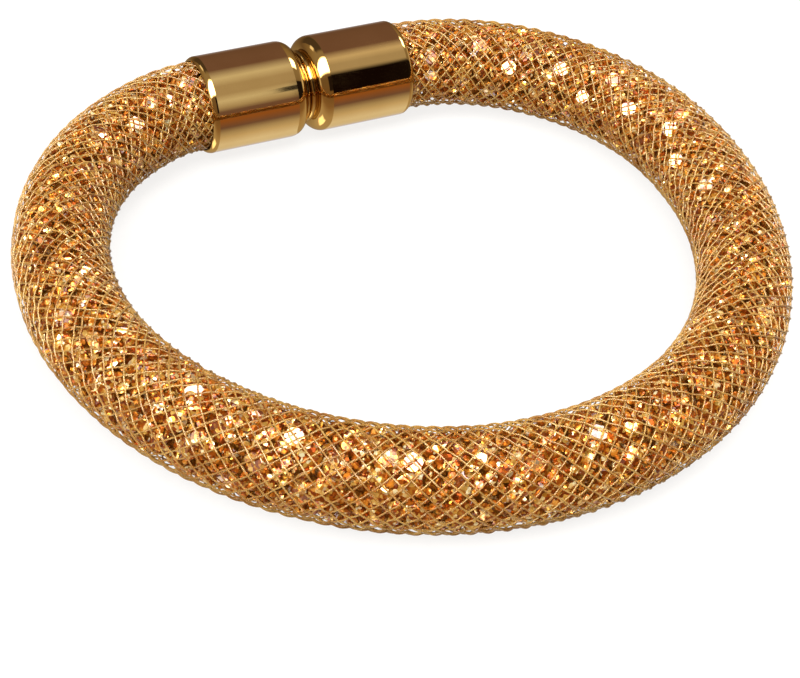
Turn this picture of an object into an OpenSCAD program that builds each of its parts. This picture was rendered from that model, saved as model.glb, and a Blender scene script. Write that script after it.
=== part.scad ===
// Crystal bracelet: a soft net tube filled with loose cut stones, closed into a
// loop by a round clasp in two halves. Millimetres. The loop lies on its side:
// +Z is up, the clasp runs along X at the back (+Y), and the origin is at the
// bottom centre of the whole bracelet.

/* [Clasp] */
// length of both halves together
clasp_length = 21.1; // [18:0.1:24]
// outer diameter of the halves
clasp_diameter = 9.46; // [8:0.02:11]
// radius of the rounded shoulder beside the joint
shoulder_radius = 1.4; // [0.4:0.1:2]
// diameter of the neck between the shoulders
neck_diameter = 7; // [5:0.1:8]
// length of each half's neck
neck_length = 0.4; // [0.1:0.05:1]
// radius of the rounded edge where the two necks meet
neck_round = 0.28; // [0.05:0.01:0.35]
// depth of the cup that takes the net's end
cup_depth = 7.6; // [5:0.1:8.5]
// radius of the rounded edge on each open rim
rim_round = 0.7; // [0.4:0.05:1]
// flat left on each open rim, inside the rounding
rim_flat = 0.08; // [0.04:0.01:0.2]
// diameter of the magnet hidden in the joint
core_diameter = 5; // [3:0.1:6]
// length of the magnet
core_length = 3; // [1:0.1:4]

/* [Net] */
// outer diameter of the net tube
net_diameter = 8.6; // [7:0.05:9.4]
// thickness of the net where two strands cross
net_wall = 0.5; // [0.3:0.05:1]

/* [Stones] */
// number of large stones
stone_count = 240; // [120:1:250]
// smallest stone diameter
stone_smallest = 2.7; // [2:0.05:3]
// largest stone diameter
stone_largest = 3; // [2.5:0.05:3.4]
// most that a stone leans away from facing straight out, in degrees
stone_lean = 57; // [0:1:65]
// table width as a share of the stone's diameter
table_share = 0.56; // [0.4:0.01:0.7]
// crown height as a share of the stone's diameter
crown_share = 0.16; // [0.1:0.01:0.25]
// pavilion depth as a share of the stone's diameter
pavilion_share = 0.42; // [0.3:0.01:0.5]
// room between the stones and the net
stone_room = 0.18; // [0.1:0.01:0.4]

/* [Hidden] */
// clearance between pieces that meet
gap = 0.05;
// bends of the loop from the clasp's left end round to its right end, as
// [radius, turn in degrees]; the last two radii are worked out to close the loop
BENDS = [
    [12.0, 20],
    [23.7, 40],
    [28.4, 44],
    [31.0, 62],
    [30.3, 59],
    [33.4, 50],
    [0, 50],
    [0, 35]
];
BEND_RADIUS = 0;
BEND_TURN = 1;
SIDES = 8;
GOLDEN_TURN = 137.508;
// how fast a stone's size, lean, way of leaning and turn change from one stone to the next
SIZE_RATE = 0.754877666;
LEAN_RATE = 0.372;
WAY_RATE = 0.768;
SPIN_RATE = 0.432;

clasp_radius = clasp_diameter / 2;
half_length = clasp_length / 2;
net_radius = net_diameter / 2;
net_inner = net_radius - net_wall;
bore_radius = net_radius + gap;
neck_radius = neck_diameter / 2;
rim_fall = clasp_radius - bore_radius - rim_flat;
rim_reach = sqrt(pow(rim_round, 2) - pow(rim_round - rim_fall, 2));

// the loop's plan: a straight through the clasp and a bend for each row
function sum_to(list, n, field) = n <= 0 ? 0 : list[n - 1][field] + sum_to(list, n - 1, field);
function heading(k) = 180 + sum_to(BENDS, k, BEND_TURN);
function step_of(k) = [
    sin(heading(k + 1)) - sin(heading(k)),
    cos(heading(k)) - cos(heading(k + 1))
];
function travel_to(n) = n <= 0 ? [0, 0] : BENDS[n - 1][BEND_RADIUS] * step_of(n - 1) + travel_to(n - 1);
last = len(BENDS) - 1;
missing = [clasp_length, 0] - travel_to(last - 1);
step_a = step_of(last - 1);
step_b = step_of(last);
spread = step_a[0] * step_b[1] - step_a[1] * step_b[0];
radius_a = (missing[0] * step_b[1] - missing[1] * step_b[0]) / spread;
radius_b = (step_a[0] * missing[1] - step_a[1] * missing[0]) / spread;
radii = [for (k = [0 : last]) k == last ? radius_b : k == last - 1 ? radius_a : BENDS[k][BEND_RADIUS]];

function start_of(k) = k <= 0 ? [-half_length, 0] : start_of(k - 1) + radii[k - 1] * step_of(k - 1);
function length_to(k) = k <= 0 ? 0 : length_to(k - 1) + radii[k - 1] * BENDS[k - 1][BEND_TURN] * PI / 180;
starts = [for (k = [0 : last + 1]) start_of(k)];
lengths = [for (k = [0 : last + 1]) length_to(k)];
headings = [for (k = [0 : last + 1]) heading(k)];
centres = [for (k = [0 : last]) starts[k] + radii[k] * [-sin(headings[k]), cos(headings[k])]];
net_length = lengths[last + 1];

// where the loop runs in a given direction
function bend_with(h, k = 0) = k >= last || h < headings[k + 1] ? k : bend_with(h, k + 1);
function point_towards(h) = centres[bend_with(h)] + radii[bend_with(h)] * [sin(h), -cos(h)];
left_most = point_towards(270)[0] - net_radius;
right_most = point_towards(450)[0] + net_radius;
front_line = point_towards(360)[1];
// the clasp is thicker than the net, so the loop leans a little to rest on both
rest_lean = asin((clasp_radius - net_radius) / -front_line);
front_most = front_line * cos(rest_lean) - net_radius;
home = [-(left_most + right_most) / 2, -(clasp_radius + front_most) / 2, clasp_radius];

// a place along the loop, as [point, direction in degrees, bend radius]
function bend_at(s, k = 0) = k >= last || s < lengths[k + 1] ? k : bend_at(s, k + 1);
function place_in(s, k) = let (h = headings[k] + (s - lengths[k]) / radii[k] * 180 / PI)
    [centres[k] + radii[k] * [sin(h), -cos(h)], h, radii[k]];
function place_at(s) = s < 0 ? [[-half_length - s, 0], 180, 1000]
    : s > net_length ? [[half_length - (s - net_length), 0], 180, 1000]
    : place_in(s, bend_at(s));

// an even, repeatable scatter between 0 and 1
function scatter(i, rate) = i * rate - floor(i * rate);

// one cut stone about its own axis: table, girdle and point
function ring(radius, height) = [for (a = [0 : SIDES - 1]) [radius * cos(a * 360 / SIDES), radius * sin(a * 360 / SIDES), height]];
function stone_shape(d) = concat(
    ring(table_share * d / 2, crown_share * d),
    ring(d / 2, 0),
    [[0, 0, -pavilion_share * d]]
);
function stone_faces(start) = concat(
    [[for (a = [SIDES - 1 : -1 : 0]) start + a]],
    [for (a = [0 : SIDES - 1]) let (b = (a + 1) % SIDES)
        [start + a, start + b, start + SIDES + b, start + SIDES + a]],
    [for (a = [0 : SIDES - 1]) let (b = (a + 1) % SIDES)
        [start + SIDES + a, start + SIDES + b, start + 2 * SIDES]]
);

// stones lie against the net all the way round, each turned and leaning its own way
stone_first = -1;
stone_pitch = (net_length + 2) / stone_count;
function stone_points(i) =
    let (
        at = place_at(stone_first + stone_pitch * (i + 0.5)),
        h = at[1],
        round_turn = i * GOLDEN_TURN,
        along = [cos(h), sin(h), 0],
        outward = [sin(h), -cos(h), 0],
        out = cos(round_turn) * outward + sin(round_turn) * [0, 0, 1],
        side = -sin(round_turn) * outward + cos(round_turn) * [0, 0, 1],
        squeeze = min(1, 0.12 + 0.88 * (1 + 3 * cos(round_turn) / at[2])),
        d = (stone_smallest + (stone_largest - stone_smallest) * scatter(i, SIZE_RATE)) * squeeze,
        lean = stone_lean * scatter(i, LEAN_RATE),
        lean_way = 360 * scatter(i, WAY_RATE),
        spin = 360 * scatter(i, SPIN_RATE),
        way = cos(lean_way) * along + sin(lean_way) * side,
        axis = cos(lean) * out + sin(lean) * way,
        across = cos(lean) * way - sin(lean) * out,
        third = cross(axis, across),
        e1 = cos(spin) * across + sin(spin) * third,
        e2 = cos(spin) * third - sin(spin) * across,
        turned = [for (p = stone_shape(d)) p[0] * e1 + p[1] * e2 + p[2] * axis],
        reach = net_inner - stone_room,
        rise = min([for (p = turned) sqrt(pow(reach, 2) - pow(p * side, 2)) - p * out])
    )
    [for (p = turned) p + rise * out + [at[0][0], at[0][1], 0]];

module at_rest() {
    translate(home)
        rotate([rest_lean, 0, 0])
            children();
}

module tube_section() {
    difference() {
        circle(r = net_radius, $fn = 96);
        circle(r = net_inner, $fn = 96);
    }
}

// a move in two steps, a coarse one and the small rest, so that the bends meet exactly
module shift(v) {
    coarse = [for (x = v) round(x * 100) / 100];
    translate(coarse)
        translate(v - coarse)
            children();
}

// one bend of the net, starting where the bend before it ends
module net_bend(k) {
    shift(concat(centres[k], 0))
        rotate_extrude(angle = BENDS[k][BEND_TURN], start = headings[k] - 90, $fn = 360)
            shift([radii[k], 0])
                tube_section();
}

// the net's straight end inside a cup; side is -1 for left and 1 for right
module net_end(side) {
    depth = cup_depth - 2 * gap;
    translate([side * (half_length - depth), 0, 0])
        rotate([0, side * 90, 0])
            linear_extrude(height = depth)
                tube_section();
}

module net_sleeve() {
    color([0.85, 0.62, 0.3, 0.5])
        at_rest()
            union() {
                net_end(-1);
                for (k = [0 : last])
                    net_bend(k);
                net_end(1);
            }
}

module crystals() {
    points = [for (i = [0 : stone_count - 1]) each stone_points(i)];
    faces = [for (i = [0 : stone_count - 1]) each stone_faces(i * (2 * SIDES + 1))];
    color([0.72, 0.38, 0.1])
        at_rest()
            polyhedron(points = points, faces = faces);
}

// outline of one clasp half: radius against distance from the joint
module half_outline() {
    shoulder_at = neck_length + shoulder_radius;
    rim_at = half_length - rim_reach;
    difference() {
        union() {
            translate([0, gap / 2])
                square([neck_radius - neck_round, shoulder_at]);
            translate([neck_radius - neck_round, gap / 2 + neck_round])
                circle(r = neck_round, $fn = 96);
            translate([0, gap / 2 + neck_round])
                square([neck_radius, shoulder_at - neck_round]);
            translate([0, neck_length])
                square([clasp_radius - shoulder_radius, shoulder_radius]);
            translate([clasp_radius - shoulder_radius, shoulder_at])
                circle(r = shoulder_radius, $fn = 96);
            translate([0, shoulder_at])
                square([clasp_radius, rim_at - shoulder_at]);
            translate([clasp_radius - rim_round, rim_at])
                circle(r = rim_round, $fn = 96);
        }
        translate([-1, half_length - cup_depth])
            square([bore_radius + 1, cup_depth + 1]);
        translate([-1, -1])
            square([core_diameter / 2 + gap + 1, core_length / 2 + gap + 1]);
        translate([bore_radius - 1, half_length])
            square([clasp_radius, 2]);
    }
}

module clasp_half(side) {
    color([0.86, 0.68, 0.32])
        at_rest()
            rotate([0, side * 90, 0])
                rotate_extrude($fn = 128)
                    half_outline();
}

module clasp_half_left() {
    clasp_half(-1);
}

module clasp_half_right() {
    clasp_half(1);
}

module clasp_core() {
    color([0.6, 0.6, 0.62])
        at_rest()
            rotate([0, 90, 0])
                cylinder(d = core_diameter, h = core_length, center = true, $fn = 64);
}

net_sleeve();
crystals();
clasp_half_left();
clasp_half_right();
clasp_core();
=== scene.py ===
"""Looks of the crystal bracelet.

The net tube's woven strands, the smaller stones between the large ones, the
finishes, the light tent, the floor and the camera. The large stones and the
clasp keep their own solids from the frame.
"""

import logging
import math
from dataclasses import dataclass, field
from enum import Enum

import bpy
import numpy as np
from mathutils import Matrix, Vector


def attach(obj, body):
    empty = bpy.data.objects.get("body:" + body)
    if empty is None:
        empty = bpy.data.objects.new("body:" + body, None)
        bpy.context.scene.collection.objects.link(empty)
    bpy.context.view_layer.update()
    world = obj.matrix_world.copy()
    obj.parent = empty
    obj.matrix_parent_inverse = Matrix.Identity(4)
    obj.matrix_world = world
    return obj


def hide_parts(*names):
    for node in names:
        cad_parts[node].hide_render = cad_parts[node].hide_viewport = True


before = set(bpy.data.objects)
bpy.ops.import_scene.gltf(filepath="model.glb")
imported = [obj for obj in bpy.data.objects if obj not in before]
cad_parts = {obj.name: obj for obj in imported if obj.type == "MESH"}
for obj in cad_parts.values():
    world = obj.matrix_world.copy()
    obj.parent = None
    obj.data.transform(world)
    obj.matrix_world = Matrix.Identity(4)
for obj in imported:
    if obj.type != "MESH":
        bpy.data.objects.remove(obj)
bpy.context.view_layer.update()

log = logging.getLogger("bracelet")
Socket = bpy.types.NodeSocket
MM = 0.001
BODY = "root"

# Brightness in red, green and blue of the tent's cards and cloths.
WHITE_CARD = (1.05, 1.1, 1.15)
COOL_CARD = (1.3, 1.4, 1.7)
CREAM_CARD = (1.0, 0.95, 0.9)
WARM_CARD = (1.1, 0.98, 0.8)
GREY_CLOTH = (0.7, 0.65, 0.6)
AMBER_CLOTH = (0.5, 0.2, 0.06)
UMBER_CLOTH = (0.28, 0.18, 0.19)
SMOKE_CLOTH = (0.12, 0.09, 0.07)
SOOT_CLOTH = (0.03, 0.02, 0.02)
COAL_CLOTH = (0.02, 0.015, 0.015)
BLACK_CLOTH = (0.01, 0.005, 0.005)

# The bands below the level that both halves of the clasp mirror, by rise in degrees.
LOW_BANDS = (
    (-180, UMBER_CLOTH),
    (-110, COOL_CARD),
    (-85, COOL_CARD),
    (-60, CREAM_CARD),
    (-45, GREY_CLOTH),
    (-30, UMBER_CLOTH),
    (-10, AMBER_CLOTH),
)


class Hand(Enum):
    """Which way a strand turns round the tube."""

    LEFT = -1
    RIGHT = 1


class Extreme(Enum):
    """The loop's outermost points, each by the direction in degrees that the loop has there."""

    LEFT = 270
    FRONT = 360
    RIGHT = 450


@dataclass(frozen=True)
class Bend:
    """One round bend of the loop, in millimetres and degrees."""

    radius: float
    turn: float


@dataclass
class LoopPath:
    """The middle line of the bracelet, from the clasp's left end round to its right end.

    Lengths are in millimetres. The last two bends are worked out so that the
    loop closes, as in the part's own source.
    """

    clasp_length: float = 21.1
    clasp_radius: float = 4.73
    net_radius: float = 4.3
    bends: tuple[Bend, ...] = (
        Bend(12.0, 20),
        Bend(23.7, 40),
        Bend(28.4, 44),
        Bend(31.0, 62),
        Bend(30.3, 59),
        Bend(33.4, 50),
        Bend(0.0, 50),
        Bend(0.0, 35),
    )
    radii: np.ndarray = field(init=False)
    headings: np.ndarray = field(init=False)
    starts: np.ndarray = field(init=False)
    lengths: np.ndarray = field(init=False)

    def __post_init__(self) -> None:
        """Solves the two closing bends and lays the bends end to end."""
        turns = np.radians([bend.turn for bend in self.bends])
        self.headings = np.pi + np.concatenate([[0.0], np.cumsum(turns)])
        before, after = self.headings[:-1], self.headings[1:]
        steps = np.stack(
            [np.sin(after) - np.sin(before), np.cos(before) - np.cos(after)], axis=1
        )
        known = np.array([bend.radius for bend in self.bends[:-2]])
        missing = np.array([self.clasp_length, 0.0]) - known @ steps[:-2]
        closing = np.linalg.solve(steps[-2:].T, missing)
        self.radii = np.concatenate([known, closing])
        moves = self.radii[:, None] * steps
        first = np.array([[-self.clasp_length / 2, 0.0]])
        self.starts = np.concatenate([first, first + np.cumsum(moves, axis=0)])
        self.lengths = np.concatenate([[0.0], np.cumsum(self.radii * turns)])

    @property
    def net_length(self) -> float:
        """Length of the net's middle line between the clasp's two ends."""
        return float(self.lengths[-1])

    def _bend(self, marks: np.ndarray, value: float) -> int:
        """The number of the bend that holds a value, given what every bend begins with."""
        return min(int(np.searchsorted(marks, value, side="right")) - 1, len(self.radii) - 1)

    def _on_bend(self, k: int, angle: float) -> np.ndarray:
        """The point of a bend where the loop runs in a direction.

        Args:
            k: the bend's number.
            angle: the direction, in radians.

        Returns:
            The point in the loop's own plan.
        """
        start, radius = self.headings[k], self.radii[k]
        centre = self.starts[k] + radius * np.array([-math.sin(start), math.cos(start)])
        return centre + radius * np.array([math.sin(angle), -math.cos(angle)])

    def _outermost(self, extreme: Extreme) -> np.ndarray:
        """One of the loop's outermost points, in its own plan."""
        angle = math.radians(extreme.value)
        return self._on_bend(self._bend(self.headings, angle), angle)

    @property
    def lean(self) -> float:
        """Angle by which the loop leans to rest on both clasp and net, in radians."""
        reach = -self._outermost(Extreme.FRONT)[1]
        return math.asin((self.clasp_radius - self.net_radius) / reach)

    @property
    def home(self) -> np.ndarray:
        """Where the clasp's middle lies in the frame."""
        left = self._outermost(Extreme.LEFT)[0] - self.net_radius
        right = self._outermost(Extreme.RIGHT)[0] + self.net_radius
        front = self._outermost(Extreme.FRONT)[1] * math.cos(self.lean) - self.net_radius
        return np.array([-(left + right) / 2, -(self.clasp_radius + front) / 2, self.clasp_radius])

    @property
    def rest(self) -> dict[str, object]:
        """The inputs with which a recipe lays its piece where the bracelet lies."""
        return {"Lean": self.lean, "Home": tuple(self.home * MM)}

    def place(self, s: float) -> tuple[np.ndarray, float]:
        """A place along the loop.

        Args:
            s: distance from the clasp's left end; negative inside the left cup.

        Returns:
            The point in the loop's own plan, and the direction in radians.
        """
        if s < 0:
            return np.array([-self.clasp_length / 2 - s, 0.0]), math.pi
        if s > self.net_length:
            return np.array([self.clasp_length / 2 - (s - self.net_length), 0.0]), math.pi
        k = self._bend(self.lengths, s)
        angle = self.headings[k] + (s - self.lengths[k]) / self.radii[k]
        return self._on_bend(k, angle), angle

    def plan(self, first: float, last: float, step: float) -> np.ndarray:
        """Points along the loop, flat in its own plan.

        Args:
            first: where to begin, as a distance along the loop.
            last: where to end.
            step: largest distance between points.

        Returns:
            An array of points in millimetres.
        """
        count = int(math.ceil((last - first) / step)) + 1
        rows = [self.place(s)[0] for s in np.linspace(first, last, count)]
        return np.array([[x, y, 0.0] for x, y in rows])

    def off_rest(self, points: np.ndarray) -> np.ndarray:
        """Moves points from where the bracelet lies to the loop's own plan.

        Args:
            points: points in the frame, in millimetres.

        Returns:
            The same points in the loop's own plan, in millimetres.
        """
        c, s = math.cos(self.lean), math.sin(self.lean)
        turn = np.array([[1, 0, 0], [0, c, -s], [0, s, c]])
        return (points - self.home) @ turn


class Tree:
    """A node tree under construction: geometry, material or world."""

    # A Mix node has its colour sockets after those for numbers and vectors.
    COLOUR_MIX_INPUTS = (0, 6, 7)
    COLOUR_MIX_OUTPUT = 2

    def __init__(self, tree: bpy.types.NodeTree) -> None:
        """Takes an empty node tree.

        Args:
            tree: the tree to fill.
        """
        self.tree = tree

    def add(self, kind: str, settings: dict | None = None, **values: object) -> bpy.types.Node:
        """Adds a node.

        Args:
            kind: the node's type name.
            settings: plain properties of the node.
            **values: values for its inputs, as give takes them.

        Returns:
            The new node.
        """
        node = self.tree.nodes.new(kind)
        for name, value in (settings or {}).items():
            setattr(node, name, value)
        self.give(node, **values)
        return node

    def give(self, node: bpy.types.Node, **values: object) -> None:
        """Sets or links a node's inputs by name.

        Args:
            node: the node that takes the values.
            **values: plain values or output sockets, with the input's name
                written with underscores for spaces.
        """
        for name, value in values.items():
            self.feed(node, name.replace("_", " "), value)

    def feed(self, node: bpy.types.Node, name: str | int, value: object) -> None:
        """Sets or links one input.

        Args:
            node: the node that takes the value.
            name: the input's name or number.
            value: an output socket, or a plain value.
        """
        socket = node.inputs[name]
        if isinstance(value, Socket):
            self.tree.links.new(value, socket)
        else:
            socket.default_value = value

    def math(self, operation: str, a: object, b: object = 0.0, c: object = 0.0) -> Socket:
        """A Math node's result.

        Args:
            operation: the Math node's operation.
            a: first number or socket.
            b: second number or socket.
            c: third number or socket.

        Returns:
            The output socket.
        """
        node = self.add("ShaderNodeMath", {"operation": operation})
        for index, value in enumerate((a, b, c)):
            self.feed(node, index, value)
        return node.outputs[0]

    def vector(
        self, operation: str, a: object, b: object = (0, 0, 0), scale: object = 1.0
    ) -> Socket:
        """A Vector Math node's vector result.

        Args:
            operation: the Vector Math node's operation.
            a: first vector or socket.
            b: second vector or socket.
            scale: the factor, for SCALE.

        Returns:
            The output socket.
        """
        node = self.add("ShaderNodeVectorMath", {"operation": operation})
        self.feed(node, 0, a)
        if operation == "SCALE":
            self.feed(node, "Scale", scale)
        else:
            self.feed(node, 1, b)
        return node.outputs["Vector"]

    def mix(self, share: object, a: object, b: object) -> Socket:
        """A Mix node's result for two colours.

        Args:
            share: how far the second colour shows.
            a: first colour or socket.
            b: second colour or socket.

        Returns:
            The output socket.
        """
        node = self.add("ShaderNodeMix", {"data_type": "RGBA"})
        for index, value in zip(self.COLOUR_MIX_INPUTS, (share, a, b)):
            self.feed(node, index, value)
        return node.outputs[self.COLOUR_MIX_OUTPUT]

    def ramp(self, factor: Socket, stops: tuple, constant: bool = False) -> Socket:
        """A colour ramp.

        Args:
            factor: what drives the ramp.
            stops: pairs of position and colour.
            constant: whether each colour holds until the next stop.

        Returns:
            The colour output.
        """
        node = self.add("ShaderNodeValToRGB", Fac=factor)
        ramp = node.color_ramp
        ramp.interpolation = "CONSTANT" if constant else "LINEAR"
        while len(ramp.elements) < len(stops):
            ramp.elements.new(0.5)
        for element, (position, colour) in zip(ramp.elements, stops):
            element.position = position
            element.color = (*colour, 1.0)
        return node.outputs["Color"]


class GeometryRecipe(Tree):
    """A Geometry Nodes tree with named inputs, made in code and used once or more."""

    KINDS = {int: "NodeSocketInt", float: "NodeSocketFloat", tuple: "NodeSocketVector"}
    SHARED = {"Lean": 0.0, "Home": (0.0, 0.0, 0.0), "Material": "NodeSocketMaterial"}

    def __init__(self, name: str, inputs: dict[str, object]) -> None:
        """Makes the tree and its named inputs, and those that every recipe has.

        Args:
            name: the tree's name.
            inputs: each input's name and its plain default value; a string
                gives a socket type, such as an object or a material.
        """
        super().__init__(bpy.data.node_groups.new(name, "GeometryNodeTree"))
        face = self.tree.interface
        face.new_socket("Geometry", in_out="INPUT", socket_type="NodeSocketGeometry")
        face.new_socket("Geometry", in_out="OUTPUT", socket_type="NodeSocketGeometry")
        for label, value in {**inputs, **self.SHARED}.items():
            kind = value if isinstance(value, str) else self.KINDS[type(value)]
            socket = face.new_socket(label, in_out="INPUT", socket_type=kind)
            if not isinstance(value, str):
                socket.default_value = value
        self.given = self.tree.nodes.new("NodeGroupInput").outputs
        self.result = self.tree.nodes.new("NodeGroupOutput")

    def finish(self, geometry: Socket, smooth: bool) -> None:
        """Ends the tree: the piece at rest, its instances realized, in its material.

        Args:
            geometry: what the tree has made, in the loop's own plan.
            smooth: whether faces are shaded smooth.
        """
        add, given = self.add, self.given
        tilt = add("ShaderNodeCombineXYZ", X=given["Lean"]).outputs[0]
        laid = add(
            "GeometryNodeTransform", Geometry=geometry, Rotation=tilt, Translation=given["Home"]
        ).outputs[0]
        real = add("GeometryNodeRealizeInstances", Geometry=laid).outputs[0]
        shade = add("GeometryNodeSetShadeSmooth", Geometry=real, Shade_Smooth=smooth).outputs[0]
        paint = add("GeometryNodeSetMaterial", Geometry=shade, Material=given["Material"])
        self.feed(self.result, 0, paint.outputs[0])

    def make(self, name: str, base: bpy.types.Mesh, values: dict[str, object]) -> bpy.types.Object:
        """Runs the tree on a base mesh and keeps the result as a plain mesh.

        Args:
            name: the new piece's name.
            base: the mesh that the tree starts from.
            values: values for the named inputs.

        Returns:
            A plain mesh object at the origin.
        """
        piece = bpy.data.objects.new(name, base)
        bpy.context.scene.collection.objects.link(piece)
        modifier = piece.modifiers.new("recipe", "NODES")
        modifier.node_group = self.tree
        for item in self.tree.interface.items_tree:
            if item.item_type == "SOCKET" and item.in_out == "INPUT" and item.name in values:
                modifier[item.identifier] = values[item.name]
        piece.update_tag()
        bpy.context.view_layer.update()
        graph = bpy.context.evaluated_depsgraph_get()
        mesh = bpy.data.meshes.new_from_object(piece.evaluated_get(graph), depsgraph=graph)
        mesh.name = name
        piece.modifiers.remove(modifier)
        piece.data = mesh
        return piece


def plain_mesh(name: str, points: np.ndarray, edges: list, faces: list) -> bpy.types.Mesh:
    """A mesh from points in millimetres.

    Args:
        name: the mesh's name.
        points: its points, in millimetres.
        edges: pairs of point numbers.
        faces: lists of point numbers.

    Returns:
        The mesh, in metres.
    """
    mesh = bpy.data.meshes.new(name)
    mesh.from_pydata([tuple(p) for p in np.asarray(points) * MM], edges, faces)
    mesh.update()
    return mesh


class Paint(Tree):
    """A material's tree, with its surface shader and the piece's own coordinates."""

    def __init__(self, tree: bpy.types.NodeTree) -> None:
        """Adds the shader, the output and the coordinates.

        Args:
            tree: the material's empty tree.
        """
        super().__init__(tree)
        self.shader = self.add("ShaderNodeBsdfPrincipled")
        self.add("ShaderNodeOutputMaterial", Surface=self.shader.outputs[0])
        self.place = self.add("ShaderNodeTexCoord").outputs["Object"]

    def noise(self, scale: float, detail: float, roughness: float = 0.5) -> Socket:
        """Noise over the piece.

        Args:
            scale: how many of its grains fit in a metre.
            detail: how many finer layers it has.
            roughness: how strong each layer is beside the one before it.

        Returns:
            A number from 0 to 1.
        """
        sizes = {"Scale": scale, "Detail": detail, "Roughness": roughness}
        return self.add("ShaderNodeTexNoise", Vector=self.place, **sizes).outputs["Fac"]


class Finish:
    """A named surface finish. Each kind fills in its own material tree."""

    label: str = "finish"

    def material(self) -> bpy.types.Material:
        """The finish as a node material, made once.

        Returns:
            The material.
        """
        kept = bpy.data.materials.get(self.label)
        if kept is not None:
            return kept
        material = bpy.data.materials.new(self.label)
        material.use_nodes = True
        material.node_tree.nodes.clear()
        self.fill(Paint(material.node_tree))
        return material

    def fill(self, paint: Paint) -> None:
        """Adds the finish's own nodes; each kind has its own."""
        raise NotImplementedError


@dataclass(frozen=True)
class PolishedGold(Finish):
    """Gold plate, polished bright, with faint hairlines and handling haze."""

    label: str = "polished gold plate"
    bright: tuple = (0.56, 0.36, 0.128)
    deep: tuple = (0.53, 0.335, 0.115)
    grazing: tuple = (0.72, 0.66, 0.55)
    smoothest: float = 0.02
    roughest: float = 0.07

    def fill(self, paint: Paint) -> None:
        """Adds colour drift, haze in the gloss and fine hairlines along the tube.

        Args:
            paint: the material's tree.
        """
        haze = paint.noise(260.0, detail=3.0, roughness=0.6)
        gloss = paint.add(
            "ShaderNodeMapRange",
            Value=haze,
            From_Min=0.3,
            From_Max=0.75,
            To_Min=self.smoothest,
            To_Max=self.roughest,
        )
        stretch = paint.add("ShaderNodeMapping", Vector=paint.place, Scale=(400.0, 9000.0, 9000.0))
        hairs = paint.add("ShaderNodeTexNoise", Vector=stretch.outputs[0], Scale=1.0, Detail=2.0)
        bump = paint.add(
            "ShaderNodeBump", Height=hairs.outputs["Fac"], Strength=0.05, Distance=0.00002
        )
        paint.give(
            paint.shader,
            Base_Color=paint.ramp(haze, ((0.3, self.deep), (0.65, self.bright))),
            Metallic=1.0,
            Roughness=gloss.outputs["Result"],
            Specular_Tint=(*self.grazing, 1.0),
            Normal=bump.outputs[0],
        )


@dataclass(frozen=True)
class NylonStrand(Finish):
    """Clear amber nylon thread, glossy, with painted shade darkening its edges, drifting from straw
    to honey.
    """

    label: str = "amber nylon strand"
    straw: tuple = (0.57, 0.355, 0.1)
    honey: tuple = (0.41, 0.19, 0.04)
    painted_edge_shade: tuple = (0.26, 0.14, 0.035)
    shine: tuple = (1.0, 0.93, 0.75)
    roughness: float = 0.25
    ior: float = 1.53
    clear: float = 0.6

    def fill(self, paint: Paint) -> None:
        """Adds drift in the dye, painted shade at the thread's edges and a faint drawn grain.

        Args:
            paint: the material's tree.
        """
        dye = paint.noise(420.0, detail=2.0)
        core = paint.ramp(dye, ((0.35, self.honey), (0.62, self.straw)))
        slant = paint.add("ShaderNodeLayerWeight", Blend=0.4).outputs["Facing"]
        # Painted shade: where the surface turns away at the thread's edges, its colour darkens
        # towards the edge colour.
        edge = paint.ramp(slant, ((0.6, (0.0, 0.0, 0.0)), (0.9, (1.0, 1.0, 1.0))))
        grain = paint.noise(9000.0, detail=2.0)
        bump = paint.add(
            "ShaderNodeBump", Height=grain, Strength=0.1, Distance=0.00001
        )
        paint.give(
            paint.shader,
            Base_Color=paint.mix(edge, core, (*self.painted_edge_shade, 1.0)),
            Roughness=self.roughness,
            IOR=self.ior,
            Specular_IOR_Level=1.0,
            Specular_Tint=(*self.shine, 1.0),
            Transmission_Weight=self.clear,
            Normal=bump.outputs[0],
        )


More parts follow.
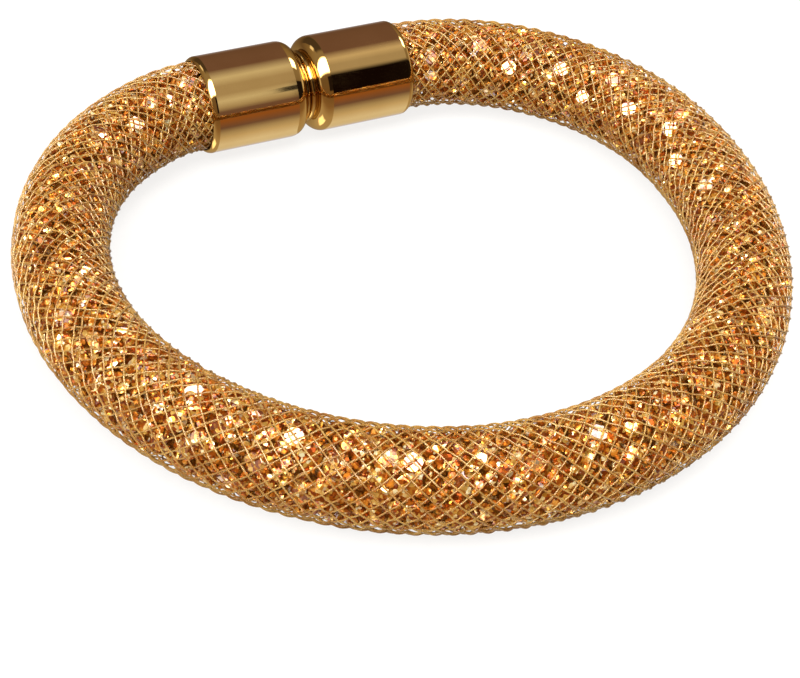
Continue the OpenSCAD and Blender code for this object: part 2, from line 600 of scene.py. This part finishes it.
@dataclass(frozen=True)
class FoiledCrystal(Finish):
    """Cut topaz glass over foil: each facet breaks into small bright and dark flecks.

    How far a fleck turns the surface drifts between calm and lively. The glow
    stands in for light that passes through the glass.
    """

    label: str = "foiled topaz crystal"
    flecks: tuple = (
        (0.0, (0.16, 0.02, 0.0)),
        (0.24, (0.3, 0.062, 0.003)),
        (0.48, (0.45, 0.18, 0.018)),
        (0.66, (0.62, 0.37, 0.08)),
        (0.83, (0.82, 0.6, 0.24)),
        (0.92, (0.95, 0.86, 0.52)),
        (0.975, (0.5, 0.36, 0.2)),
    )
    fleck_size: float = 0.3
    foil: float = 0.65
    grazing: tuple = (0.95, 0.6, 0.25)
    roughness: float = 0.07
    calm: float = 0.08
    lively: float = 0.8
    coat: float = 0.5
    coat_roughness: float = 0.03
    coat_ior: float = 1.5
    inner_light: tuple = (0.55, 0.22, 0.03)
    glow: float = 0.04

    def fill(self, paint: Paint) -> None:
        """Adds the inner flecks, which turn the surface and tint it cell by cell.

        Args:
            paint: the material's tree.
        """
        cells = paint.add("ShaderNodeTexVoronoi", Vector=paint.place, Scale=1 / MM / self.fleck_size)
        parts = paint.add("ShaderNodeSeparateColor", Color=cells.outputs["Color"])
        mood = paint.noise(520.0, detail=1.0)
        stir = paint.add(
            "ShaderNodeMapRange",
            Value=mood,
            From_Min=0.42,
            From_Max=0.58,
            To_Min=self.calm,
            To_Max=self.lively,
        )
        # A cell's colour, once centred on nought, serves as a direction of its own.
        flat = paint.add("ShaderNodeNewGeometry").outputs["True Normal"]
        away = paint.vector("SUBTRACT", cells.outputs["Color"], (0.5, 0.5, 0.5))
        tilt = paint.vector("SCALE", away, scale=stir.outputs["Result"])
        paint.give(
            paint.shader,
            Base_Color=paint.ramp(parts.outputs[0], self.flecks, constant=True),
            Metallic=self.foil,
            Roughness=self.roughness,
            Specular_Tint=(*self.grazing, 1.0),
            Coat_Weight=self.coat,
            Coat_Roughness=self.coat_roughness,
            Coat_IOR=self.coat_ior,
            Emission_Color=(*self.inner_light, 1.0),
            Emission_Strength=self.glow,
            Normal=paint.vector("NORMALIZE", paint.vector("ADD", flat, tilt)),
        )


@dataclass(frozen=True)
class BrightCrystal(FoiledCrystal):
    """The large stones' glass, whose facets stay flatter under a harder gloss."""

    label: str = "bright topaz crystal"
    calm: float = 0.01
    lively: float = 0.5
    coat: float = 0.8
    coat_ior: float = 2.0


@dataclass(frozen=True)
class PaintedShadeCrystal(FoiledCrystal):
    """Shaded copy of the glass for the chips deep in the tube: painted shade makes it darker and
    less mirror-like, and a stronger glow adds painted light.
    """

    label: str = "deep topaz crystal"
    # Darker flecks, less foil and less coat: painted shade for chips lying in the other stones'
    # shade.
    flecks: tuple = (
        (0.0, (0.17, 0.025, 0.0)),
        (0.25, (0.31, 0.07, 0.003)),
        (0.55, (0.46, 0.15, 0.013)),
        (0.85, (0.56, 0.25, 0.045)),
    )
    foil: float = 0.35
    lively: float = 0.5
    coat: float = 0.3
    glow: float = 0.11


@dataclass(frozen=True)
class NickelPlate(Finish):
    """Plain nickel plate, for the magnet that the clasp hides."""

    label: str = "nickel plate"
    dull: tuple = (0.5, 0.5, 0.52)
    bright: tuple = (0.66, 0.66, 0.67)
    roughness: float = 0.25

    def fill(self, paint: Paint) -> None:
        """Adds a soft cloud in the colour.

        Args:
            paint: the material's tree.
        """
        cloud = paint.noise(700.0, detail=3.0)
        paint.give(
            paint.shader,
            Base_Color=paint.ramp(cloud, ((0.3, self.dull), (0.7, self.bright))),
            Metallic=1.0,
            Roughness=self.roughness,
        )


@dataclass(frozen=True)
class PaleSheet(Finish):
    """Milky sheet, lit from below, for the surface that the bracelet lies on."""

    label: str = "pale sheet"
    darker: tuple = (0.09, 0.09, 0.09)
    lighter: tuple = (0.1, 0.1, 0.1)
    light: tuple = (1.0, 0.99, 0.975)
    lit: float = 0.85
    roughness: float = 0.6
    specular: float = 0.2

    def fill(self, paint: Paint) -> None:
        """Adds a barely visible cloud in the sheet.

        Args:
            paint: the material's tree.
        """
        cloud = paint.noise(900.0, detail=4.0)
        paint.give(
            paint.shader,
            Base_Color=paint.ramp(cloud, ((0.3, self.darker), (0.7, self.lighter))),
            Roughness=self.roughness,
            Specular_IOR_Level=self.specular,
            Emission_Color=(*self.light, 1.0),
            Emission_Strength=self.lit,
        )


@dataclass
class NetSleeve:
    """The net tube: one set of nylon strands lies over the other and swells between crossings.

    Lengths are in millimetres. The strands reach past the plain tube by proud,
    and the right-turning ones lie over the others by over. Every strand wanders
    to and fro by up to wander, in radians. The last three values are the noise's
    steps for that: along a metre of tube, from one strand to the next, and from
    one hand to the other.
    """

    path: LoopPath
    finish: Finish
    strands: int = 20
    strand_diameter: float = 0.15
    swell: float = 0.15
    over: float = 0.1
    wander: float = 0.16
    proud: float = 0.04
    cell_length: float = 1.33
    points_per_cell: int = 6
    sides: int = 6
    hidden_end: float = 2.2
    path_step: float = 0.25
    drift_per_metre: float = 160.0
    strands_apart: float = 7.3
    hands_apart: float = 5.1

    def recipe(self) -> GeometryRecipe:
        """The tree that winds one set of strands round the loop.

        Returns:
            The recipe, with named inputs for every size.
        """
        recipe = GeometryRecipe(
            "woven strands",
            {
                "Strands": 20,
                "Points": 100,
                "Hand": 1.0,
                "Turn per Metre": 236.0,
                "Low Radius": 0.004,
                "Swell": 0.0001,
                "Wander": 0.1,
                "Strand Radius": 0.0001,
                "Sides": 6,
            },
        )
        given, add, calc, vector = recipe.given, recipe.add, recipe.math, recipe.vector
        middle = add("GeometryNodeMeshToCurve", Mesh=given["Geometry"]).outputs[0]
        middle = add("GeometryNodeSetCurveNormal", {"mode": "Z_UP"}, Curve=middle).outputs[0]
        length = add("GeometryNodeCurveLength", Curve=middle).outputs["Length"]
        line = add("GeometryNodeCurvePrimitiveLine").outputs[0]
        line = add("GeometryNodeResampleCurve", Curve=line, Count=given["Points"]).outputs[0]
        many = add(
            "GeometryNodeDuplicateElements",
            {"domain": "SPLINE"},
            Geometry=line,
            Amount=given["Strands"],
        )
        number = many.outputs["Duplicate Index"]
        share = add("GeometryNodeSplineParameter").outputs["Factor"]
        along = calc("MULTIPLY", share, length)
        spot = add("GeometryNodeSampleCurve", {"mode": "LENGTH"}, Curves=middle, Length=along)
        turn = calc("MULTIPLY", along, given["Turn per Metre"])
        first = calc("DIVIDE", calc("MULTIPLY", number, math.tau), given["Strands"])
        seat = add(
            "ShaderNodeCombineXYZ",
            X=calc("MULTIPLY", along, self.drift_per_metre),
            Y=calc("MULTIPLY", number, self.strands_apart),
            Z=calc("MULTIPLY", given["Hand"], self.hands_apart),
        ).outputs[0]
        noise = add("ShaderNodeTexNoise", Vector=seat, Scale=1.0, Detail=1.0).outputs["Fac"]
        drift = calc("MULTIPLY", calc("SUBTRACT", noise, 0.5), given["Wander"])
        angle = calc("ADD", calc("MULTIPLY_ADD", turn, given["Hand"], first), drift)
        cell = calc("MULTIPLY", turn, calc("MULTIPLY", given["Strands"], 0.5))
        wave = calc("ABSOLUTE", calc("COSINE", cell))
        radius = calc("MULTIPLY_ADD", wave, given["Swell"], given["Low Radius"])
        across = spot.outputs["Normal"]
        upward = vector("CROSS_PRODUCT", spot.outputs["Tangent"], across)
        offset = vector(
            "ADD",
            vector("SCALE", across, scale=calc("MULTIPLY", radius, calc("COSINE", angle))),
            vector("SCALE", upward, scale=calc("MULTIPLY", radius, calc("SINE", angle))),
        )
        place = vector("ADD", spot.outputs["Position"], offset)
        wound = add("GeometryNodeSetPosition", Geometry=many.outputs[0], Position=place)
        ring = add(
            "GeometryNodeCurvePrimitiveCircle",
            Resolution=given["Sides"],
            Radius=given["Strand Radius"],
        )
        solid = add(
            "GeometryNodeCurveToMesh",
            Curve=wound.outputs[0],
            Profile_Curve=ring.outputs[0],
            Fill_Caps=True,
        )
        recipe.finish(solid.outputs[0], smooth=True)
        return recipe

    def build(self) -> None:
        """Winds both sets of strands in place of the net's plain solid."""
        recipe = self.recipe()
        length = self.path.net_length + 2 * self.hidden_end
        last = self.path.net_length + self.hidden_end
        plan = self.path.plan(-self.hidden_end, last, self.path_step)
        edges = [(k, k + 1) for k in range(len(plan) - 1)]
        strand = self.strand_diameter / 2
        cells = round(length / self.cell_length)
        turn = math.tau * cells / (self.strands * length)
        highest = self.path.net_radius + self.proud - strand
        for hand in Hand:
            low = highest - self.swell - (0 if hand is Hand.RIGHT else self.over)
            piece = recipe.make(
                f"net_strands_{hand.name.lower()}_turning",
                plain_mesh("loop line", plan, edges, []),
                {
                    "Strands": self.strands,
                    "Points": cells * self.points_per_cell + 1,
                    "Hand": float(hand.value),
                    "Turn per Metre": turn / MM,
                    "Low Radius": low * MM,
                    "Swell": self.swell * MM,
                    "Wander": 2 * self.wander,
                    "Strand Radius": strand * MM,
                    "Sides": self.sides,
                    "Material": self.finish.material(),
                    **self.path.rest,
                },
            )
            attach(piece, BODY)
            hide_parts("net_sleeve")
            log.info("%s: %d strands, %d faces", piece.name, self.strands, len(piece.data.polygons))


@dataclass(frozen=True)
class StoneCut:
    """A cut stone of unit diameter: table, star facets, kites, girdle facets and point."""

    sides: int = 8
    table: float = 0.28
    crown: float = 0.16
    waist: float = 0.41
    waist_height: float = 0.085
    girdle: float = 0.5
    depth: float = 0.42

    @staticmethod
    def _ring(angles: np.ndarray, radius: float, height: float) -> list:
        """The corners of one level ring."""
        return [(radius * math.cos(a), radius * math.sin(a), height) for a in angles]

    def points(self) -> np.ndarray:
        """The stone's corners: table, waist, girdle and point.

        Returns:
            One row a corner.
        """
        n = self.sides
        full = np.arange(n) * math.tau / n
        table = self._ring(full, self.table, self.crown)
        waist = self._ring(full + math.pi / n, self.waist, self.waist_height)
        girdle = self._ring(np.arange(2 * n) * math.pi / n, self.girdle, 0.0)
        return np.array(table + waist + girdle + [(0.0, 0.0, -self.depth)])

    def faces(self) -> list:
        """The stone's facets.

        Returns:
            Lists of corner numbers.
        """
        n = self.sides
        waist, girdle, tip = n, 2 * n, 4 * n
        faces = [list(range(n))]
        for k in range(n):
            left, right = waist + (k - 1) % n, waist + k
            first, middle, last = (girdle + (2 * k + step) % (2 * n) for step in range(3))
            faces += [
                [k, right, (k + 1) % n],
                [k, left, first, right],
                [right, first, middle],
                [right, middle, last],
                [first, tip, middle],
                [middle, tip, last],
            ]
        return faces


@dataclass
class SmallStones:
    """The smaller cut stones that lie between and behind the large ones.

    Lengths are in millimetres. Each stone lies against the net, which it meets
    at reach from the middle line, or deeper, by up to the share deepest of its
    way there. For keeping stones apart, a ball stands for the bulk of each: its
    radius is ball_share of the stone's size, and its middle lies ball_shift of
    that size behind the girdle. The balls in held are those of earlier stones.
    """

    # A stone's turn and size: the attribute's name, its type and its field.
    ATTRIBUTES = (("turn", "FLOAT_VECTOR", "vector"), ("size", "FLOAT", "value"))

    path: LoopPath
    finish: Finish
    name: str = "small_stones"
    cut: StoneCut = StoneCut()
    smallest: float = 0.8
    largest: float = 2.5
    rounds: int = 40
    tries: int = 1800
    batch: int = 500
    reach: float = 4.03
    deepest: float = 0.9
    depth_power: int = 4
    end_margin: float = 0.5
    lean_spread: float = 0.9
    ball_share: float = 0.35
    ball_shift: float = 0.08
    large_size: float = 2.8
    merge_passes: int = 12
    seed: int = 41
    held: np.ndarray | None = None

    def large_stones(self) -> np.ndarray:
        """Middles of the large stones, read from their own node.

        Returns:
            One row a stone, in the loop's own plan, in millimetres.
        """
        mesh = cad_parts["crystals"].data
        co = np.zeros(len(mesh.vertices) * 3)
        mesh.vertices.foreach_get("co", co)
        # Facets that meet share a corner once it is rounded to the micrometre.
        points = np.round(co.reshape(-1, 3) / MM, decimals=3)
        unique, number = np.unique(points, axis=0, return_inverse=True)
        number = number.reshape(-1)
        owner = np.arange(len(unique))
        corners = np.zeros(len(mesh.loops), int)
        mesh.loops.foreach_get("vertex_index", corners)
        tris = number[corners].reshape(-1, 3)
        for _ in range(self.merge_passes):
            low = owner[tris].min(axis=1)
            for column in range(3):
                np.minimum.at(owner, tris[:, column], low)
        groups = np.unique(owner, return_inverse=True)[1].reshape(-1)
        middles = [unique[groups == k].mean(axis=0) for k in range(groups.max() + 1)]
        return self.path.off_rest(np.array(middles))

    def throw(self, random: np.random.Generator, size: float) -> tuple[np.ndarray, ...]:
        """Throws stones of one size against the net from inside, in any place and turn.

        Args:
            random: the seeded source of chance.
            size: the stones' diameter.

        Returns:
            Their places, their axes as rotation matrices, and the middles of
            the balls that stand for their bulk.
        """
        count = self.tries
        last = self.path.net_length + self.end_margin
        places = [self.path.place(s) for s in random.uniform(-self.end_margin, last, count)]
        middles = np.array([[x, y, 0.0] for (x, y), _ in places])
        heading = np.array([heading for _, heading in places])
        angle = random.uniform(0, math.tau, count)
        flat = np.zeros(count)
        along = np.stack([np.cos(heading), np.sin(heading), flat], axis=1)
        outward = np.stack([np.sin(heading), -np.cos(heading), flat], axis=1)
        upward = np.array([0.0, 0.0, 1.0])
        out = np.cos(angle)[:, None] * outward + np.sin(angle)[:, None] * upward
        across = np.cross(along, out)
        axis = out + self.lean_spread * random.normal(size=(count, 3))
        axis /= np.linalg.norm(axis, axis=1)[:, None]
        first = np.cross(axis, random.normal(size=(count, 3)))
        first /= np.linalg.norm(first, axis=1)[:, None]
        turns = np.stack([first, np.cross(axis, first), axis], axis=2)
        body = np.einsum("nij,pj->npi", turns, self.cut.points() * size)
        sideways = np.einsum("npi,ni->np", body, across)
        outwards = np.einsum("npi,ni->np", body, out)
        rise = (np.sqrt(self.reach**2 - sideways**2) - outwards).min(axis=1)
        rise *= 1.0 - self.deepest * random.random(count) ** self.depth_power
        spots = middles + rise[:, None] * out
        return spots, turns, spots - self.ball_shift * size * axis

    def clear(self, balls: np.ndarray, radius: float) -> np.ndarray:
        """Which balls of one radius touch none of those that the tube holds.

        Args:
            balls: the balls' middles.
            radius: their radius.

        Returns:
            True for each ball that is clear.
        """
        middles, sizes = self.held[:, :3], self.held[:, 3]
        square = (balls**2).sum(axis=1)[:, None] + (middles**2).sum(axis=1) - 2 * balls @ middles.T
        return (np.sqrt(np.maximum(square, 0)) - sizes - radius).min(axis=1) > 0

    def scatter(self) -> tuple[np.ndarray, ...]:
        """Packs stones round by round, smaller each time, wherever they clear the others.

        Returns:
            Their places, turns as Euler angles, and sizes.
        """
        random = np.random.default_rng(self.seed)
        if self.held is None:
            large = self.large_stones()
            bulk = np.full((len(large), 1), self.large_size * self.ball_share)
            self.held = np.concatenate([large, bulk], axis=1)
        places, turns, sizes = [], [], []
        for size in np.linspace(self.largest, self.smallest, self.rounds):
            radius = size * self.ball_share
            spots, axes, balls = self.throw(random, size)
            batches = range(0, self.tries, self.batch)
            free = [self.clear(balls[k : k + self.batch], radius) for k in batches]
            new = np.zeros((0, 4))
            for k in np.flatnonzero(np.concatenate(free)):
                if len(new) and np.linalg.norm(new[:, :3] - balls[k], axis=1).min() < 2 * radius:
                    continue
                new = np.concatenate([new, [[*balls[k], radius]]])
                places.append(spots[k])
                turns.append(axes[k])
                sizes.append(size)
            self.held = np.concatenate([self.held, new])
        return np.array(places), self.euler(np.array(turns)), np.array(sizes)

    @staticmethod
    def euler(turns: np.ndarray) -> np.ndarray:
        """Rotation matrices as Euler angles.

        Args:
            turns: one matrix a stone.

        Returns:
            One row a stone, with its three angles in radians.
        """
        x = np.arctan2(turns[:, 2, 1], turns[:, 2, 2])
        y = -np.arcsin(turns[:, 2, 0])
        z = np.arctan2(turns[:, 1, 0], turns[:, 0, 0])
        return np.stack([x, y, z], axis=1)

    def recipe(self) -> GeometryRecipe:
        """The tree that sets one cut stone on every point.

        Returns:
            The recipe, with the stone as a named input.
        """
        recipe = GeometryRecipe("set stones", {"Stone": "NodeSocketObject"})
        given, add = recipe.given, recipe.add
        stone = add("GeometryNodeObjectInfo", Object=given["Stone"], As_Instance=True)
        points = add("GeometryNodeMeshToPoints", Mesh=given["Geometry"])
        turn, size = (
            add("GeometryNodeInputNamedAttribute", {"data_type": kind}, Name=label).outputs[0]
            for label, kind, _ in self.ATTRIBUTES
        )
        set_stones = add(
            "GeometryNodeInstanceOnPoints",
            Points=points.outputs[0],
            Instance=stone.outputs["Geometry"],
            Rotation=turn,
            Scale=size,
        )
        recipe.finish(set_stones.outputs[0], smooth=False)
        return recipe

    def build(self) -> None:
        """Packs the tube with stones and joins them into one piece."""
        places, turns, sizes = self.scatter()
        base = plain_mesh("stone places", places, [], [])
        for (label, kind, key), values in zip(self.ATTRIBUTES, (turns, sizes)):
            base.attributes.new(label, kind, "POINT").data.foreach_set(key, values.ravel())
        solid = plain_mesh("cut stone", self.cut.points(), [], self.cut.faces())
        pattern = bpy.data.objects.new("cut stone", solid)
        bpy.context.scene.collection.objects.link(pattern)
        piece = self.recipe().make(
            self.name,
            base,
            {"Stone": pattern, "Material": self.finish.material(), **self.path.rest},
        )
        bpy.data.objects.remove(pattern)
        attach(piece, BODY)
        log.info("%s: %d stones, %d faces", piece.name, len(places), len(piece.data.polygons))


@dataclass
class FrameNodes:
    """The nodes that keep their own solids and get a finish."""

    gold: Finish
    crystal: Finish
    magnet: Finish

    def dress(self) -> None:
        """Gives each kept node its finish."""
        for name, finish in (
            ("crystals", self.crystal),
            ("clasp_half_left", self.gold),
            ("clasp_half_right", self.gold),
            ("clasp_core", self.magnet),
        ):
            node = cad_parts[name]
            node.data.materials.clear()
            node.data.materials.append(finish.material())
            log.info("%s: %s, %d faces", name, finish.label, len(node.data.polygons))


class Sky(Tree):
    """The world's tree, which measures every direction by its rise and its side.

    The rise is in degrees in the plane square to the clasp: 0 is level in front,
    90 is straight up and 180 is level behind. The side is the direction's part
    along the clasp, from -1 at the left to 1 at the right.
    """

    def __init__(self, tree: bpy.types.NodeTree) -> None:
        """Adds the nodes that measure a direction.

        Args:
            tree: the world's empty tree.
        """
        super().__init__(tree)
        way = self.add("ShaderNodeTexCoord").outputs["Generated"]
        part = self.add("ShaderNodeSeparateXYZ", Vector=way).outputs
        level = self.math("ARCTAN2", part["Z"], self.math("MULTIPLY", part["Y"], -1.0))
        self.rise = self.math("DEGREES", level)
        self.side = part["X"]

    def banded(self, bands: tuple) -> Socket:
        """Colours a direction by its rise.

        Args:
            bands: rises from -180 to 180 degrees with their colours, in order.

        Returns:
            The colour.
        """
        share = self.math("DIVIDE", self.math("ADD", self.rise, 180.0), 360.0)
        return self.ramp(share, tuple(((rise + 180) / 360, colour) for rise, colour in bands))


@dataclass(frozen=True)
class Range:
    """A span of a direction's rise or side with soft ends."""

    low: float
    high: float
    edge: float

    def share(self, sky: Sky, value: Socket) -> Socket:
        """How far a value lies inside the span.

        Args:
            sky: the world's tree.
            value: the direction's rise or side.

        Returns:
            A number from 0 to 1, soft at both ends.
        """
        steps = [
            sky.add(
                "ShaderNodeMapRange",
                {"interpolation_type": "SMOOTHSTEP"},
                Value=value,
                From_Min=at - self.edge,
                From_Max=at + self.edge,
                To_Min=start,
                To_Max=1.0 - start,
            ).outputs["Result"]
            for at, start in ((self.low, 0.0), (self.high, 1.0))
        ]
        return sky.math("MULTIPLY", *steps)


@dataclass(frozen=True)
class Panel:
    """A part of the tent with one colour of its own, or with bands that change with the rise."""

    side: Range
    rise: Range
    bands: tuple = ()
    colour: tuple = ()

    def lay(self, sky: Sky, under: Socket) -> Socket:
        """Lays the panel over what the tent has there.

        Args:
            sky: the world's tree.
            under: the colour under the panel.

        Returns:
            The colour with the panel.
        """
        sideways, upward = self.side.share(sky, sky.side), self.rise.share(sky, sky.rise)
        colour = sky.banded(self.bands) if self.bands else (*self.colour, 1.0)
        return sky.mix(sky.math("MULTIPLY", sideways, upward), under, colour)


@dataclass
class Tent:
    """The light tent round the bracelet, as a brightness for each direction.

    The cloth goes all the way round. The two banded panels are what the sides
    of the clasp's halves mirror, and the rest is dark cloth and lit cards.
    """

    cloth: tuple = (
        (-180, (0.24, 0.17, 0.12)),
        (-110, (0.8, 0.72, 0.6)),
        (-60, (0.7, 0.58, 0.42)),
        (-30, (0.42, 0.27, 0.15)),
        (0, (0.3, 0.19, 0.1)),
        (40, (0.28, 0.2, 0.12)),
        (62, (0.42, 0.35, 0.25)),
        (106, (0.5, 0.42, 0.31)),
        (138, (0.44, 0.34, 0.2)),
        (180, (0.24, 0.17, 0.12)),
    )
    left_panel: Panel = Panel(
        Range(0.289, 0.35, 0.004),
        Range(-190, 190, 2),
        (
            *LOW_BANDS,
            (0, UMBER_CLOTH),
            (10, UMBER_CLOTH),
            (20, GREY_CLOTH),
            (35, WHITE_CARD),
            (50, GREY_CLOTH),
            (70, GREY_CLOTH),
            (90, WHITE_CARD),
            (115, UMBER_CLOTH),
            (180, UMBER_CLOTH),
        ),
    )
    right_panel: Panel = Panel(
        Range(0.35, 0.412, 0.004),
        Range(-190, 190, 2),
        (
            *LOW_BANDS,
            (0, BLACK_CLOTH),
            (45, BLACK_CLOTH),
            (55, GREY_CLOTH),
            (70, GREY_CLOTH),
            (85, CREAM_CARD),
            (105, UMBER_CLOTH),
            (180, UMBER_CLOTH),
        ),
    )
    point: Panel = Panel(Range(0.339, 0.36, 0.004), Range(29.5, 40, 2), colour=COAL_CLOTH)
    dark_left: Panel = Panel(Range(-0.12, 0.27, 0.02), Range(10, 46, 2), colour=SOOT_CLOTH)
    dark_right: Panel = Panel(Range(0.4, 0.92, 0.006), Range(4, 50, 2), colour=COAL_CLOTH)
    dark_back: Panel = Panel(Range(-0.35, 0.27, 0.03), Range(112, 176, 8), colour=SMOKE_CLOTH)
    left_end: Panel = Panel(Range(-1.1, -0.93, 0.03), Range(-10, 190, 5), colour=WARM_CARD)
    right_end: Panel = Panel(Range(0.93, 1.1, 0.03), Range(-10, 190, 5), colour=WARM_CARD)
    lit_back: Panel = Panel(Range(-0.5, -0.3, 0.03), Range(126, 142, 4), colour=(1.8, 1.7, 1.5))
    lit_low: Panel = Panel(Range(-0.6, -0.2, 0.04), Range(-100, -72, 4), colour=(3.0, 2.8, 2.4))
    lit_left: Panel = Panel(Range(-0.9, 0.235, 0.04), Range(55, 90, 5), colour=(13.6, 13.4, 12.9))
    lit_right: Panel = Panel(Range(0.46, 0.74, 0.03), Range(86, 112, 4), colour=(10.6, 10.4, 10.0))

    def hang(self) -> None:
        """Makes the world of the scene, with each panel laid over those before it."""
        world = bpy.data.worlds.new("tent")
        bpy.context.scene.world = world
        world.use_nodes = True
        world.node_tree.nodes.clear()
        sky = Sky(world.node_tree)
        colour = sky.banded(self.cloth)
        darks = (self.point, self.dark_left, self.dark_right, self.dark_back)
        ends = (self.left_end, self.right_end)
        lights = (self.lit_back, self.lit_low, self.lit_left, self.lit_right)
        for panel in (self.left_panel, self.right_panel, *darks, *ends, *lights):
            colour = panel.lay(sky, colour)
        glow = sky.add("ShaderNodeBackground", Color=colour)
        sky.add("ShaderNodeOutputWorld", Surface=glow.outputs[0])


@dataclass
class Studio:
    """Floor and camera, as the photograph has them."""

    floor_size: float = 6.0
    camera_azimuth: float = 29.166
    camera_elevation: float = 40.825
    camera_roll: float = 5.808
    camera_distance: float = 165.71
    camera_target: tuple = (-6.73, -9.918, 4.5)
    focal_pixels: float = 1961.3
    picture_width: int = 800
    sensor_width: float = 36.0
    nearest: float = 0.005
    farthest: float = 20.0

    def floor(self) -> None:
        """Lays the pale sheet that the bracelet lies on."""
        half = self.floor_size / 2 / MM
        corners = np.array([(-half, -half, 0), (half, -half, 0), (half, half, 0), (-half, half, 0)])
        sheet = bpy.data.objects.new("floor", plain_mesh("floor", corners, [], [[0, 1, 2, 3]]))
        sheet.data.materials.append(PaleSheet().material())
        # The clasp and the stones mirror the tent alone, and not the sheet.
        sheet.visible_glossy = False
        bpy.context.scene.collection.objects.link(sheet)

    def camera(self) -> None:
        """Stands the camera at the photograph's viewing angle."""
        azimuth, elevation, roll = (
            math.radians(v) for v in (self.camera_azimuth, self.camera_elevation, self.camera_roll)
        )
        right = Vector((math.cos(azimuth), -math.sin(azimuth), 0.0))
        ahead = Vector(
            (
                math.sin(azimuth) * math.cos(elevation),
                math.cos(azimuth) * math.cos(elevation),
                -math.sin(elevation),
            )
        )
        up = right.cross(ahead)
        x_axis = right * math.cos(roll) + up * math.sin(roll)
        y_axis = up * math.cos(roll) - right * math.sin(roll)
        lens = bpy.data.cameras.new("camera")
        lens.sensor_width = self.sensor_width
        lens.lens = self.focal_pixels / self.picture_width * lens.sensor_width
        lens.clip_start = self.nearest
        lens.clip_end = self.farthest
        camera = bpy.data.objects.new("camera", lens)
        turn = Matrix((x_axis, y_axis, -ahead)).transposed().to_4x4()
        place = Vector(self.camera_target) * MM - ahead * self.camera_distance * MM
        camera.matrix_world = Matrix.Translation(place) @ turn
        bpy.context.scene.collection.objects.link(camera)
        bpy.context.scene.camera = camera


def main() -> None:
    """Builds the bracelet's pieces in order and sets the studio round them."""
    logging.basicConfig(level=logging.INFO, format="%(name)s: %(message)s")
    path = LoopPath()
    log.info("loop: net %.1f mm, lean %.2f degrees", path.net_length, math.degrees(path.lean))
    FrameNodes(gold=PolishedGold(), crystal=BrightCrystal(), magnet=NickelPlate()).dress()
    NetSleeve(path, NylonStrand()).build()
    small_stones = SmallStones(path, FoiledCrystal())
    small_stones.build()
    # The chips deep in the tube get the crystal finish with painted shade.
    SmallStones(
        path,
        PaintedShadeCrystal(),
        "stone_chips",
        StoneCut(sides=5),
        smallest=0.5,
        largest=0.78,
        rounds=10,
        tries=4500,
        reach=3.9,
        held=small_stones.held,
    ).build()
    Tent().hang()
    studio = Studio()
    studio.floor()
    studio.camera()
    bpy.context.scene.view_settings.view_transform = "Standard"


if __name__ == "__main__":
    main()
